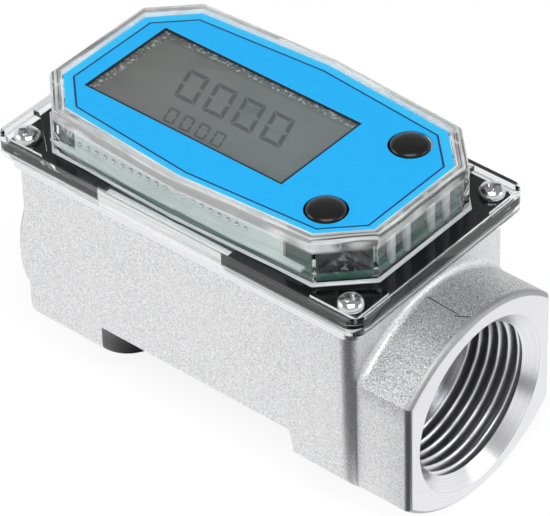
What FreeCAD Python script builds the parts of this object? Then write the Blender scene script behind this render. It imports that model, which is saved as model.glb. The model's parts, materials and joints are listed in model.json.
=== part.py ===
import FreeCAD, Part
import math
import os
import Sketcher

# Turbine flow meter for one-inch pipe: a cast housing with a threaded port at each end, a bladed
# rotor on a shaft in the bore, and a battery-powered counter under a clear screwed-on cover.
# Frame: X runs along the flow, +X towards the long port, +Z up; the origin is under the middle of
# the meter, level with the flats that it rests on. Millimetres.

SIZES = {
    # cast housing
    "axis_height": 20.5,         # flow axis above the resting flats
    "box_width": 44.6,
    "box_drop": 5.2,             # underside of the box between the feet, below the axis
    "box_corner": 2.4,
    "short_port_reach": 4.2,     # how far the round port stands out of the box
    "long_port_reach": 11.9,     # how far the flat-sided port stands out of the box
    "barrel_radius": 19.9,
    "port_half_width": 20.4,
    "arch_radius": 28.5,         # curve of the port's top and bottom, and of the feet
    "arch_reach": 20.8,          # crown of that curve from the axis
    "port_edge": 1.3,
    "port_root": 1.6,
    "foot_edge": 0.9,            # rounding under the short port's foot, as a share of the corner's
    "short_foot_length": 19.4,
    "long_foot_length": 11.2,
    "foot_slope": 3.2,           # how far the long port's foot leans back at its top
    "rim_height": 2.7,
    "rim_top": 26.3,             # top of the rim above the axis
    "rim_overhang": 1.2,
    "rim_proud": 0.5,
    "pocket_wall": 2.6,
    "shelf_height": 19.4,        # pocket floor over the threads, above the axis
    "pocket_floor": 16.0,        # pocket floor over the rotor, above the axis
    "pocket_cut": 4.5,
    # bore
    "mouth_radius": 17.6,
    "thread_radius": 16.7,
    "thread_depth": 17.0,
    "seat_radius": 12.8,
    "rotor_bore": 12.2,
    "ring_width": 1.2,
    "ring_depth": 0.7,
    "ring_inset": 1.2,           # land between a snap ring and the end of the thread
    "ring_height": 1.5,
    "ring_gap": 8.0,
    # turbine
    "rotor_place": 6.0,
    "rotor_space": 13.0,
    "rotor_hub": 5.2,
    "rotor_tip_gap": 0.35,
    "rotor_end_gap": 0.2,
    "blade_count": 8,
    "blade_thick": 1.1,
    "blade_twist": 38.0,
    "blade_inset": 0.5,          # from each end of the hub to the blades
    "shaft_radius": 1.5,
    "shaft_gap": 0.05,
    "bush_radius": 3.0,
    "bush_length": 4.0,
    "washer_thick": 0.6,
    "washer_radius": 2.9,
    "support_hub": 5.2,
    "support_vane": 1.4,
    "support_count": 4,
    "nose_length": 7.0,
    "fit_gap": 0.05,
    "magnet_radius": 1.2,
    "magnet_length": 3.0,
    "magnet_ring": 3.4,
    # clear cover and its seal
    "seal_thick": 0.8,
    "seal_proud": 0.5,           # past the rim, inside the cover's skirt
    "seal_neck": 0.9,            # left of the seal where its long sides are cut back
    "notch_place": 2.6,
    "notch_length": 29.5,
    "seal_gap": 0.1,
    "cover_end": 3.3,            # how far the cover stands out past each end of the box
    "cover_side": 1.75,          # and past each side
    "cover_corner": 3.0,
    "flange_thick": 3.3,
    "raised_height": 9.7,
    "raised_end": 1.0,           # raised part's ends inside the box's ends
    "raised_side": 1.3,
    "raised_cut": 8.2,
    "raised_bow": 1.8,
    "raised_edge": 0.9,
    "raised_top_edge": 1.0,
    "cover_wall": 1.9,
    "cover_plate": 1.9,
    "rim_step": 1.05,            # label's bed below the cover's top rim
    "recess_depth": 1.2,
    "recess_end": 1.3,           # room round the screw head: towards the cover's end
    "recess_side": 0.65,         # towards its side
    "recess_long": 3.9,          # and back along each edge
    "recess_short": 3.15,
    "recess_tip": 1.5,
    "post_radius": 2.1,
    "post_hole": 0.8,
    "post_depth": 4.0,
    "near_post_end": 7.7,        # post axes inside the ends and sides of the cover's room
    "near_post_side": 2.9,
    "end_post_end": 2.7,
    "end_post_side": 13.6,
    # face label
    "label_end": 2.1,            # label's edge inside the raised part's ends
    "label_side": 2.2,
    "label_cut": 7.5,
    "label_bow": 2.1,
    "label_thick": 0.25,
    "label_gap": 0.2,
    "window_end": 5.45,          # window's edge inside the label's end
    "window_to_button": 6.6,     # bare plate between the window and a button's flange
    "window_width": 21.7,
    # display
    "glass_margin": 1.0,
    "glass_thick": 2.8,
    "glass_gap": 0.1,
    "holder_wall": 1.1,
    "holder_gap": 0.1,
    "strip_width": 1.8,
    "board_thick": 1.6,
    "board_height": 2.9,         # underside of the board above the cover's lower face
    "board_gap": 0.5,
    # push buttons
    "button_end": 10.5,          # button axes inside the label's end and sides
    "button_side": 7.1,
    "button_radius": 3.8,
    "button_gap": 0.25,
    "button_proud": 0.8,
    "button_dome": 0.6,
    "button_flange": 4.35,
    "flange_height": 1.1,
    "flange_gap": 0.25,
    "button_travel": 0.6,
    "press_room": 0.45,
    "switch_side": 6.0,
    "plunger_radius": 1.6,
    "plunger_gap": 0.15,
    "plunger_depth": 1.2,
    # screws
    "screw_end": 1.5,            # screw's axis inside the ends of the box
    "screw_side": 2.4,
    "screw_radius": 1.25,
    "screw_gap": 0.15,
    "screw_reach": 8.5,
    "head_radius": 2.6,
    "head_height": 1.9,
    "small_head_radius": 1.6,
    "small_head_height": 1.0,
    # batteries and their holder
    "battery_radius": 5.2,
    "battery_length": 43.6,
    "battery_pitch": 11.4,
    "nub_radius": 1.9,
    "nub_length": 0.9,
    "holder_floor": 1.0,
    "holder_rail": 1.0,
    "holder_end": 1.2,
    "holder_room": 2.85,         # between the holder and each end of the battery pocket
    "holder_height": 8.5,
    "battery_gap": 0.15,
    "contact_thick": 0.5,
    "contact_height": 7.6,
    "contact_bump": 1.1,
    # electronics
    "chip_side": 7.0,
    "chip_height": 1.4,
    "crystal_radius": 1.0,
    "crystal_length": 6.0,
    "plug_length": 9.0,
    "plug_depth": 2.4,
    "plug_height": 4.6,
    "plug_gap": 0.6,
    "pickup_radius": 3.4,
    "pickup_well": 2.0,
    "pickup_gap": 0.1,
    "flex_width": 3.0,
    "flex_thick": 0.3,
    "flex_place": 13.4,
}

doc = FreeCAD.newDocument("TurbineFlowMeter")
sheet = doc.addObject("Spreadsheet::Sheet", "Sizes")
for row, (alias, number) in enumerate(SIZES.items(), 1):
    sheet.set("A%d" % row, alias)
    sheet.set("B%d" % row, str(number))
    sheet.setAlias("B%d" % row, alias)
doc.recompute()


class Size:
    """A length with the spreadsheet formula that gives it, so that both change together."""

    def __init__(self, number, formula):
        self.number = number
        self.formula = formula

    def _join(self, other, sign, number):
        return Size(number, "(%s %s %s)" % (self.formula, sign, formula_of(other)))

    def __add__(self, other):
        return self._join(other, "+", self.number + number_of(other))

    def __sub__(self, other):
        return self._join(other, "-", self.number - number_of(other))

    def __mul__(self, other):
        return self._join(other, "*", self.number * number_of(other))

    def __truediv__(self, other):
        return self._join(other, "/", self.number / number_of(other))

    def __neg__(self):
        return Size(-self.number, "(0 - %s)" % self.formula)


def number_of(size):
    return size.number if isinstance(size, Size) else float(size)


def formula_of(size):
    return size.formula if isinstance(size, Size) else repr(float(size))


def root(size):
    return Size(math.sqrt(size.number), "sqrt(%s)" % size.formula)


class Sheet:
    """Reads a cell of the spreadsheet by its alias."""

    def __getattr__(self, alias):
        return Size(float(sheet.get(alias)), "Sizes." + alias)


s = Sheet()
nodes = {}


# ---------------------------------------------------------------- helpers

def bind(target, path, size):
    target.setExpression(path, formula_of(size))


def keep(name, target):
    """Names a finished sub-part."""
    target.Label = name
    nodes[name] = target
    return target


def new_body(name):
    return keep(name, doc.addObject("PartDesign::Body", "Body_" + name))


def new_sketch(body, role, name, lift=None, rise=None):
    """A sketch on one of the body's origin planes, lifted off it and moved up along its own Y."""
    plane = next(item for item in body.Origin.OriginFeatures if item.Role == role)
    drawing = body.newObject("Sketcher::SketchObject", name)
    drawing.AttachmentSupport = [(plane, "")]
    drawing.MapMode = "FlatFace"
    if lift is not None:
        bind(drawing, "AttachmentOffset.Base.z", lift)
    if rise is not None:
        bind(drawing, "AttachmentOffset.Base.y", rise)
    return drawing


def fix_point(drawing, edge, end, x, y):
    for kind, size in (("DistanceX", x), ("DistanceY", y)):
        place = drawing.addConstraint(
            Sketcher.Constraint(kind, -1, 1, edge, end, number_of(size)))
        bind(drawing, "Constraints[%d]" % place, size)


def outline(drawing, corners, arcs=None):
    """Closed outline through the corners, anticlockwise; arcs gives edges that bulge by a radius."""
    arcs = arcs or {}
    first = drawing.GeometryCount
    count = len(corners)
    spots = [FreeCAD.Vector(number_of(x), number_of(y), 0) for x, y in corners]
    for index in range(count):
        start, end = spots[index], spots[(index + 1) % count]
        if index in arcs:
            radius = arcs[index].number
            half = (end - start) / 2
            inward = FreeCAD.Vector(-half.y, half.x, 0).normalize()
            middle = start + half + inward * math.sqrt(radius ** 2 - half.Length ** 2)
            angles = [math.atan2(spot.y - middle.y, spot.x - middle.x) for spot in (start, end)]
            circle = Part.Circle(middle, FreeCAD.Vector(0, 0, 1), radius)
            drawing.addGeometry(Part.ArcOfCircle(circle, *angles), False)
        else:
            drawing.addGeometry(Part.LineSegment(start, end), False)
    for index, (x, y) in enumerate(corners):
        edge = first + index
        drawing.addConstraint(
            Sketcher.Constraint("Coincident", edge, 2, first + (index + 1) % count, 1))
        fix_point(drawing, edge, 1, x, y)
        if index in arcs:
            place = drawing.addConstraint(Sketcher.Constraint("Radius", edge, arcs[index].number))
            bind(drawing, "Constraints[%d]" % place, arcs[index])


def rectangle(drawing, middle_x, middle_y, half_x, half_y):
    outline(drawing, [(middle_x - half_x, middle_y - half_y), (middle_x + half_x, middle_y - half_y),
                      (middle_x + half_x, middle_y + half_y), (middle_x - half_x, middle_y + half_y)])


def circle(drawing, x, y, radius):
    centre = FreeCAD.Vector(number_of(x), number_of(y), 0)
    edge = drawing.addGeometry(
        Part.Circle(centre, FreeCAD.Vector(0, 0, 1), number_of(radius)), False)
    fix_point(drawing, edge, 3, x, y)
    place = drawing.addConstraint(Sketcher.Constraint("Radius", edge, number_of(radius)))
    bind(drawing, "Constraints[%d]" % place, radius)


def cut_cornered(drawing, half_x, half_y, cut, bow=None):
    """Long outline about the cover's middle with cut corners and, if given, bowed long sides."""
    corners = [(1, half_x, half_y - cut), (1, half_x - cut, half_y)]
    if bow is not None:
        corners.append((0, Size(0.0, "0"), half_y + bow))
    right_top = [(middle_x + x, y) for _, x, y in corners]
    left_top = [(middle_x - x, y) for side, x, y in reversed(corners) if side]
    left_low = [(middle_x - x, -y) for _, x, y in corners]
    right_low = [(middle_x + x, -y) for side, x, y in reversed(corners) if side]
    outline(drawing, right_top + left_top + left_low + right_low)


def pad(body, drawing, name, length, reverse=False):
    feature = body.newObject("PartDesign::Pad", name)
    feature.Profile = drawing
    feature.Reversed = reverse
    bind(feature, "Length", length)
    return feature


def pocket(body, drawing, name, length, reverse=False):
    """Cuts the outline away; it must take some of the solid with it."""
    doc.recompute()
    before = body.Shape.Volume
    feature = body.newObject("PartDesign::Pocket", name)
    feature.Profile = drawing
    feature.Reversed = reverse
    bind(feature, "Length", length)
    doc.recompute()
    if not body.Shape.Volume < before:
        raise RuntimeError(name + " cuts nothing")
    return feature


def turn(body, drawing, name, kind="PartDesign::Revolution"):
    """Turns the outline once about its own horizontal axis."""
    feature = body.newObject(kind, name)
    feature.Profile = drawing
    feature.ReferenceAxis = (drawing, ["H_Axis"])
    feature.Angle = 360.0
    return feature


def edge_feature(kind, body, name, chosen):
    """Starts a fillet or chamfer on those edges of the body so far that pass the test."""
    doc.recompute()
    base = body.Tip
    edges = ["Edge%d" % index for index, edge in enumerate(base.Shape.Edges, 1) if chosen(edge)]
    if not edges:
        raise RuntimeError(name + " finds no edge")
    feature = body.newObject(kind, name)
    feature.Base = (base, edges)
    return feature


def round_edges(body, name, radius, chosen):
    bind(edge_feature("PartDesign::Fillet", body, name, chosen), "Radius", radius)


def bevel_edges(body, name, size, chosen):
    bind(edge_feature("PartDesign::Chamfer", body, name, chosen), "Size", size)


def near(first, second):
    return abs(first - number_of(second)) < 1e-4


def upright(edge):
    """True for an edge that runs straight up."""
    if len(edge.Vertexes) != 2:
        return False
    low, high = (vertex.Point for vertex in edge.Vertexes)
    return math.hypot(low.x - high.x, low.y - high.y) < 1e-4


def block(name, low, high):
    """A box from one corner to the other."""
    solid = doc.addObject("Part::Box", name)
    for side, start, end in zip(("Length", "Width", "Height"), low, high):
        bind(solid, side, end - start)
    for axis, start in zip("xyz", low):
        bind(solid, "Placement.Base." + axis, start)
    return solid


def rod(name, axis, radius, start, length):
    """A cylinder along X or Z from its start point."""
    solid = doc.addObject("Part::Cylinder", name)
    bind(solid, "Radius", radius)
    bind(solid, "Height", length)
    if axis == "x":
        solid.Placement = FreeCAD.Placement(
            FreeCAD.Vector(), FreeCAD.Rotation(FreeCAD.Vector(0, 1, 0), 90))
    for side, place in zip("xyz", start):
        bind(solid, "Placement.Base." + side, place)
    return solid


def cut(name, base, *tools):
    """Takes the tools out of the base, one after the other."""
    for index, tool in enumerate(tools):
        result = doc.addObject("Part::Cut", "%s_%d" % (name, index))
        result.Base = base
        result.Tool = tool
        base = result
    return base


def fuse(name, *solids):
    result = doc.addObject("Part::MultiFuse", name)
    result.Shapes = list(solids)
    return result


def group(name, *solids):
    """Separate solids kept in one node."""
    result = doc.addObject("Part::Compound", name)
    result.Links = list(solids)
    return result


# ---------------------------------------------------------------- places worked out from the sizes

zero = Size(0.0, "0")
contact_room = s.contact_thick + s.contact_bump
cell_room = s.battery_length + s.nub_length + contact_room * 2 + s.battery_gap * 2
holder_half_length = cell_room / 2 + s.holder_end
battery_pocket_half = holder_half_length + s.holder_room
body_length = (battery_pocket_half + s.pocket_wall + s.thread_depth) * 2
box_length = body_length - s.short_port_reach - s.long_port_reach
left_end = -body_length / 2
right_end = body_length / 2
box_left = left_end + s.short_port_reach
box_right = box_left + box_length
middle_x = box_left + box_length / 2
box_side = s.box_width / 2
rim_top = s.axis_height + s.rim_top
rim_bottom = rim_top - s.rim_height
rim_half_length = box_length / 2 + s.rim_overhang
rim_half_width = box_side + s.rim_proud
pocket_floor = s.axis_height + s.pocket_floor
shelf = s.axis_height + s.shelf_height
pocket_half_length = box_length / 2 - s.pocket_wall
pocket_half_width = box_side - s.pocket_wall
cover_half_length = box_length / 2 + s.cover_end
cover_half_width = box_side + s.cover_side
seal_half_length = rim_half_length + s.seal_proud
seal_half_width = rim_half_width + s.seal_proud
raised_half_length = box_length / 2 - s.raised_end
raised_half_width = box_side - s.raised_side
label_half_length = raised_half_length - s.label_end
label_half_width = raised_half_width - s.label_side
cover_bottom = rim_top + s.seal_thick
flange_top = cover_bottom + s.flange_thick
cover_top = flange_top + s.raised_height
label_bed = cover_top - s.rim_step
plate_under = label_bed - s.cover_plate
board_bottom = cover_bottom + s.board_height
board_top = board_bottom + s.board_thick
glass_top = plate_under - s.glass_gap
glass_bottom = glass_top - s.glass_thick
recess_floor = flange_top - s.recess_depth
inner_shrink = 2 - math.sqrt(2)      # a 45 degree cut shortens by this share of an inset
room_half_length = raised_half_length - s.cover_wall
room_half_width = raised_half_width - s.cover_wall
room_cut = s.raised_cut - s.cover_wall * inner_shrink
rotor_left = s.rotor_place - s.rotor_space / 2
rotor_right = s.rotor_place + s.rotor_space / 2
screw_place = box_length / 2 - s.screw_end
screw_spread = box_side - s.screw_side
screw_spots = [(middle_x + screw_place * along, screw_spread * across)
               for along in (-1, 1) for across in (-1, 1)]
post_spots = [(middle_x - (room_half_length - s.near_post_end),
               (room_half_width - s.near_post_side) * across) for across in (-1, 1)]
post_spots += [(middle_x + room_half_length - s.end_post_end,
                (room_half_width - s.end_post_side) * across) for across in (-1, 1)]
button_x = middle_x + label_half_length - s.button_end
button_y = label_half_width - s.button_side
window_left = middle_x - label_half_length + s.window_end
window_half_length = (button_x - s.button_flange - s.window_to_button - window_left) / 2
window_x = window_left + window_half_length


# ---------------------------------------------------------------- cast housing

def arch_rise(half_width):
    """Height of the arch's ends above the centre of its curve."""
    return root(s.arch_radius * s.arch_radius - half_width * half_width)


def foot_section(drawing):
    """Box and feet seen along the flow: flat sides and top, arched underside, resting flat."""
    low = s.axis_height - s.arch_reach + s.arch_radius - arch_rise(box_side)
    flat = root(s.arch_radius * s.arch_radius
                - (s.arch_radius - s.arch_reach + s.axis_height)
                * (s.arch_radius - s.arch_reach + s.axis_height))
    outline(drawing, [(-box_side, low), (-flat, zero), (flat, zero), (box_side, low),
                      (box_side, rim_bottom), (-box_side, rim_bottom)],
            {0: s.arch_radius, 2: s.arch_radius})


def port_section(drawing):
    """Long port seen along the flow: flat sides between an arched top and an arched underside."""
    side = s.port_half_width
    rise = arch_rise(side)
    low = s.arch_radius - rise
    high = s.axis_height + s.arch_reach - s.arch_radius + rise
    outline(drawing, [(-side, low), (side, low), (side, high), (-side, high)],
            {0: s.arch_radius, 2: s.arch_radius})


housing = new_body("meter_body")

section = new_sketch(housing, "YZ_Plane", "BoxSection", lift=box_left)
foot_section(section)
pad(housing, section, "Box", box_length)

# between the feet the underside steps up to the box's lower edge
recess_left = box_left + s.short_foot_length
recess_right = box_right - s.long_foot_length
section = new_sketch(housing, "XZ_Plane", "RecessSection", lift=box_side)
outline(section, [(recess_left, zero), (recess_right, zero),
                  (recess_right - s.foot_slope, s.axis_height - s.box_drop),
                  (recess_left, s.axis_height - s.box_drop)])
pocket(housing, section, "Recess", s.box_width)

round_edges(housing, "BoxCorners", s.box_corner, lambda edge: (
    upright(edge) and near(edge.BoundBox.ZMax, rim_bottom)))
round_edges(housing, "FootEdge", s.box_corner * s.foot_edge, lambda edge: (
    near(edge.BoundBox.XMin, box_left) and near(edge.BoundBox.XMax, box_left)
    and edge.BoundBox.ZMax < s.axis_height.number and not upright(edge)))

section = new_sketch(housing, "YZ_Plane", "BarrelSection", lift=left_end)
circle(section, zero, s.axis_height, s.barrel_radius)
pad(housing, section, "Barrel", s.short_port_reach + box_length)

section = new_sketch(housing, "YZ_Plane", "PortSection", lift=box_right - s.long_foot_length / 2)
port_section(section)
pad(housing, section, "LongPort", s.long_port_reach + s.long_foot_length / 2)

section = new_sketch(housing, "XY_Plane", "RimOutline", lift=rim_bottom)
rectangle(section, middle_x, zero, rim_half_length, rim_half_width)
pad(housing, section, "Rim", s.rim_height)
round_edges(housing, "RimCorners", s.box_corner, lambda edge: (
    upright(edge) and near(edge.BoundBox.ZMax, rim_top)))

# the long port's mouth and root are soft, and the short port has a turned bevel
round_edges(housing, "LongPortEdge", s.port_edge, lambda edge: (
    near(edge.BoundBox.XMin, right_end)))
bevel_edges(housing, "ShortPortEdge", s.port_edge, lambda edge: (
    near(edge.BoundBox.XMax, left_end)))
round_edges(housing, "PortRoot", s.port_root, lambda edge: (
    near(edge.BoundBox.XMin, box_right) and near(edge.BoundBox.XMax, box_right)
    and edge.BoundBox.YLength > s.port_half_width.number
    and s.axis_height.number < edge.BoundBox.ZMin < (s.axis_height + s.arch_reach).number))

# the counter's pocket is shallow over the threads and deeper over the rotor
section = new_sketch(housing, "XY_Plane", "PocketOutline", lift=rim_top)
cut_cornered(section, pocket_half_length, pocket_half_width, s.pocket_cut)
pocket(housing, section, "CounterPocket", rim_top - shelf)
section = new_sketch(housing, "XY_Plane", "BatteryPocketOutline", lift=shelf)
rectangle(section, zero, zero, battery_pocket_half, pocket_half_width - s.pocket_cut / 2)
pocket(housing, section, "BatteryPocket", shelf - pocket_floor)

section = new_sketch(housing, "XY_Plane", "PickupWell", lift=pocket_floor)
circle(section, s.rotor_place, zero, s.pickup_radius + s.pickup_gap)
pocket(housing, section, "PickupWellCut", s.pickup_well)
section = new_sketch(housing, "XY_Plane", "FlexChannel", lift=pocket_floor)
channel_half = (s.flex_place + s.flex_thick + s.pickup_gap) / 2
rectangle(section, s.rotor_place, channel_half, s.flex_width / 2 + s.pickup_gap, channel_half)
pocket(housing, section, "FlexChannelCut", s.flex_thick)

section = new_sketch(housing, "XY_Plane", "ScrewHoles", lift=rim_top)
for x, y in screw_spots:
    circle(section, x, y, s.screw_radius + s.fit_gap)
pocket(housing, section, "ScrewHoleCut", s.screw_reach + 1)


def bore_profile(drawing):
    """Half of the bore seen from the side: mouths, threads, seats, ring grooves, rotor bore."""
    groove = s.seat_radius + s.ring_depth
    mouth = s.mouth_radius - s.thread_radius
    left_ring = left_end + s.thread_depth + s.ring_inset
    right_ring = right_end - s.thread_depth - s.ring_inset
    upper = [
        (right_end, s.mouth_radius), (right_end - mouth, s.thread_radius),
        (right_end - s.thread_depth, s.thread_radius), (right_end - s.thread_depth, s.seat_radius),
        (right_ring, s.seat_radius), (right_ring, groove),
        (right_ring - s.ring_width, groove), (right_ring - s.ring_width, s.seat_radius),
        (rotor_right, s.seat_radius), (rotor_right, s.rotor_bore),
        (rotor_left, s.rotor_bore), (rotor_left, s.seat_radius),
        (left_ring + s.ring_width, s.seat_radius), (left_ring + s.ring_width, groove),
        (left_ring, groove), (left_ring, s.seat_radius),
        (left_end + s.thread_depth, s.seat_radius), (left_end + s.thread_depth, s.thread_radius),
        (left_end + mouth, s.thread_radius), (left_end, s.mouth_radius)]
    outline(drawing, [(left_end, zero), (right_end, zero)] + upper)


section = new_sketch(housing, "XZ_Plane", "BoreProfile", rise=s.axis_height)
bore_profile(section)
turn(housing, section, "Bore", "PartDesign::Groove")


# ---------------------------------------------------------------- seal and clear cover

seal = new_body("cover_seal")
section = new_sketch(seal, "XY_Plane", "SealOutline", lift=rim_top)
rectangle(section, middle_x, zero, seal_half_length, seal_half_width)
pad(seal, section, "SealSheet", s.seal_thick)
round_edges(seal, "SealCorners", s.box_corner + s.seal_proud, upright)
section = new_sketch(seal, "XY_Plane", "SealOpenings", lift=cover_bottom)
cut_cornered(section, pocket_half_length, pocket_half_width, s.pocket_cut)
for x, y in screw_spots:
    circle(section, x, y, s.screw_radius + s.screw_gap)
pocket(seal, section, "SealOpeningCut", s.seal_thick)
# half-way along, the long sides are cut back so that the bare rim shows under the cover
section = new_sketch(seal, "XY_Plane", "SealNotches", lift=cover_bottom)
notch_depth = seal_half_width - pocket_half_width - s.seal_neck
for across in (-1, 1):
    rectangle(section, middle_x - s.notch_place, (seal_half_width - notch_depth / 2) * across,
              s.notch_length / 2, notch_depth / 2)
pocket(seal, section, "SealNotchCut", s.seal_thick)

cover = new_body("clear_cover")
section = new_sketch(cover, "XY_Plane", "FlangeOutline", lift=rim_top)
rectangle(section, middle_x, zero, cover_half_length, cover_half_width)
pad(cover, section, "Flange", s.seal_thick + s.flange_thick)
round_edges(cover, "FlangeCorners", s.cover_corner, upright)
section = new_sketch(cover, "XY_Plane", "SealSeat", lift=rim_top)
rectangle(section, middle_x, zero, seal_half_length + s.seal_gap, seal_half_width + s.seal_gap)
pocket(cover, section, "SealSeatCut", s.seal_thick, reverse=True)

section = new_sketch(cover, "XY_Plane", "RaisedOutline", lift=flange_top)
cut_cornered(section, raised_half_length, raised_half_width, s.raised_cut, s.raised_bow)
pad(cover, section, "RaisedBox", s.raised_height)
round_edges(cover, "RaisedCorners", s.raised_edge, lambda edge: (
    upright(edge) and near(edge.BoundBox.ZMax, cover_top) and abs(edge.BoundBox.XMin) > 1))
round_edges(cover, "RaisedTop", s.raised_top_edge, lambda edge: near(edge.BoundBox.ZMin, cover_top))

section = new_sketch(cover, "XY_Plane", "LabelBed", lift=cover_top)
cut_cornered(section, label_half_length + s.label_gap, label_half_width + s.label_gap,
             s.label_cut + s.label_gap * inner_shrink, s.label_bow)
pocket(cover, section, "LabelBedCut", s.rim_step)

section = new_sketch(cover, "XY_Plane", "RoomOutline", lift=cover_bottom)
cut_cornered(section, room_half_length, room_half_width, room_cut, s.raised_bow)
pocket(cover, section, "Room", plate_under - cover_bottom, reverse=True)

section = new_sketch(cover, "XY_Plane", "ScrewRecesses", lift=flange_top)
for along in (-1, 1):
    for across in (-1, 1):
        far_x = screw_place + s.head_radius + s.recess_end
        far_y = screw_spread + s.head_radius + s.recess_side
        back_x = screw_place - s.head_radius - s.recess_long
        back_y = screw_spread - s.head_radius - s.recess_short
        corners = [(far_x, far_y), (back_x, far_y), (back_x, far_y - s.recess_tip),
                   (far_x - s.recess_tip, back_y), (far_x, back_y)]
        if along * across < 0:
            corners.reverse()
        outline(section, [(middle_x + x * along, y * across) for x, y in corners])
pocket(cover, section, "ScrewRecessCut", s.recess_depth)

section = new_sketch(cover, "XY_Plane", "CoverHoles", lift=cover_top)
for x, y in screw_spots:
    circle(section, x, y, s.screw_radius + s.screw_gap)
for across in (-1, 1):
    circle(section, button_x, button_y * across, s.button_radius + s.button_gap)
pocket(cover, section, "CoverHoleCut", cover_top - cover_bottom)

section = new_sketch(cover, "XY_Plane", "PostOutlines", lift=plate_under)
for x, y in post_spots:
    circle(section, x, y, s.post_radius)
pad(cover, section, "BoardPosts", plate_under - board_top, reverse=True)
section = new_sketch(cover, "XY_Plane", "PostHoles", lift=board_top)
for x, y in post_spots:
    circle(section, x, y, s.post_hole + s.fit_gap)
pocket(cover, section, "PostHoleCut", s.post_depth, reverse=True)

label = new_body("face_label")
section = new_sketch(label, "XY_Plane", "LabelOutline", lift=label_bed)
cut_cornered(section, label_half_length, label_half_width, s.label_cut, s.label_bow)
rectangle(section, window_x, zero, window_half_length, s.window_width / 2)
for across in (-1, 1):
    circle(section, button_x, button_y * across, s.button_radius + s.button_gap)
pad(label, section, "LabelSheet", s.label_thick)


# ---------------------------------------------------------------- display

glass_half_length = window_half_length + s.glass_margin
glass_half_width = s.window_width / 2 + s.glass_margin
frame_half_length = glass_half_length + s.holder_gap
frame_half_width = glass_half_width + s.holder_gap

keep("lcd_glass", block(
    "LcdGlass", (window_x - glass_half_length, -glass_half_width, glass_bottom),
    (window_x + glass_half_length, glass_half_width, glass_top)))

frame_outside = block(
    "HolderOutside",
    (window_x - frame_half_length - s.holder_wall, -frame_half_width - s.holder_wall, board_top),
    (window_x + frame_half_length + s.holder_wall, frame_half_width + s.holder_wall, glass_top))
frame_inside = block(
    "HolderInside", (window_x - frame_half_length, -frame_half_width, board_top),
    (window_x + frame_half_length, frame_half_width, glass_top))
keep("lcd_holder", cut("LcdHolder", frame_outside, frame_inside))

for side, across in (("near", -1), ("far", 1)):
    line = s.window_width / 2 * across
    keep(side + "_contact_strip", block(
        side.title() + "Strip",
        (window_x - window_half_length, line - s.strip_width / 2, board_top),
        (window_x + window_half_length, line + s.strip_width / 2, glass_bottom)))

board = new_body("circuit_board")
section = new_sketch(board, "XY_Plane", "BoardOutline", lift=board_bottom)
cut_cornered(section, room_half_length - s.board_gap, room_half_width - s.board_gap,
             room_cut - s.board_gap * inner_shrink, s.raised_bow)
for x, y in post_spots:
    circle(section, x, y, s.post_hole + s.screw_gap)
pad(board, section, "BoardSheet", s.board_thick)

keep("controller_chip", block(
    "ControllerChip", (window_x - s.chip_side / 2, -s.chip_side / 2, board_top),
    (window_x + s.chip_side / 2, s.chip_side / 2, board_top + s.chip_height)))

keep("timing_crystal", rod(
    "TimingCrystal", "x", s.crystal_radius,
    (window_x + s.chip_side, zero, board_top + s.crystal_radius), s.crystal_length))

# the plug for the pickup's leads stands parallel to the cover's cut corner
plug = doc.addObject("Part::Box", "SensorPlug")
bind(plug, "Length", s.plug_length)
bind(plug, "Width", s.plug_depth)
bind(plug, "Height", s.plug_height)
plug.Placement = FreeCAD.Placement(
    FreeCAD.Vector(), FreeCAD.Rotation(FreeCAD.Vector(0, 0, 1), 45))
diagonal = math.sqrt(0.5)
wall_middle_x = middle_x + room_half_length - room_cut / 2
wall_middle_y = room_half_width - room_cut / 2
plug_x = wall_middle_x - (s.plug_gap + s.plug_length / 2) * diagonal
plug_y = -wall_middle_y - (s.plug_length / 2 - s.plug_gap) * diagonal
bind(plug, "Placement.Base.x", plug_x)
bind(plug, "Placement.Base.y", plug_y)
bind(plug, "Placement.Base.z", board_top)
keep("sensor_plug", plug)


# ---------------------------------------------------------------- push buttons and their switches

flange_top_z = plate_under - s.flange_gap
flange_low_z = flange_top_z - s.flange_height
switch_top = flange_low_z - s.button_travel - s.press_room
button_top = label_bed + s.label_thick + s.button_proud


def push_button(prefix, across):
    """Cap with a flange under the cover, the plunger that it presses, and the switch's case."""
    y = button_y * across
    cap = new_body(prefix + "_button")
    section = new_sketch(cap, "XY_Plane", prefix.title() + "Cap", lift=flange_low_z)
    circle(section, button_x, y, s.button_radius)
    pad(cap, section, prefix.title() + "CapPad", button_top - flange_low_z)
    bevel_edges(cap, prefix.title() + "Dome", s.button_dome, lambda edge: (
        near(edge.BoundBox.ZMin, button_top)))
    section = new_sketch(cap, "XY_Plane", prefix.title() + "Flange", lift=flange_low_z)
    circle(section, button_x, y, s.button_flange)
    pad(cap, section, prefix.title() + "FlangePad", s.flange_height)
    keep(prefix + "_plunger", rod(
        prefix.title() + "Plunger", "z", s.plunger_radius,
        (button_x, y, switch_top - s.plunger_depth),
        flange_low_z - switch_top + s.plunger_depth))
    half = s.switch_side / 2
    case = block(prefix.title() + "Case", (button_x - half, y - half, board_top),
                 (button_x + half, y + half, switch_top))
    well_depth = s.plunger_depth + s.button_travel + s.press_room / 2
    well = rod(prefix.title() + "Well", "z", s.plunger_radius + s.plunger_gap,
               (button_x, y, switch_top - well_depth), well_depth)
    keep(prefix + "_switch", cut(prefix.title() + "Switch", case, well))


push_button("display", 1)
push_button("setting", -1)


# ---------------------------------------------------------------- screws

def screws(name, spots, head_low, head_radius, head_height, shank_radius, shank_length, up):
    """Round-headed screws in one node; up tells whether the head is above the shank."""
    solids = []
    for index, (x, y) in enumerate(spots):
        if up:
            shank_low = head_low - shank_length
        else:
            shank_low = head_low + head_height
        head = rod("%sHead%d" % (name, index), "z", head_radius, (x, y, head_low), head_height)
        shank = rod("%sShank%d" % (name, index), "z", shank_radius, (x, y, shank_low), shank_length)
        solids.append(fuse("%s%d" % (name, index), head, shank))
    return group(name, *solids)


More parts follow.
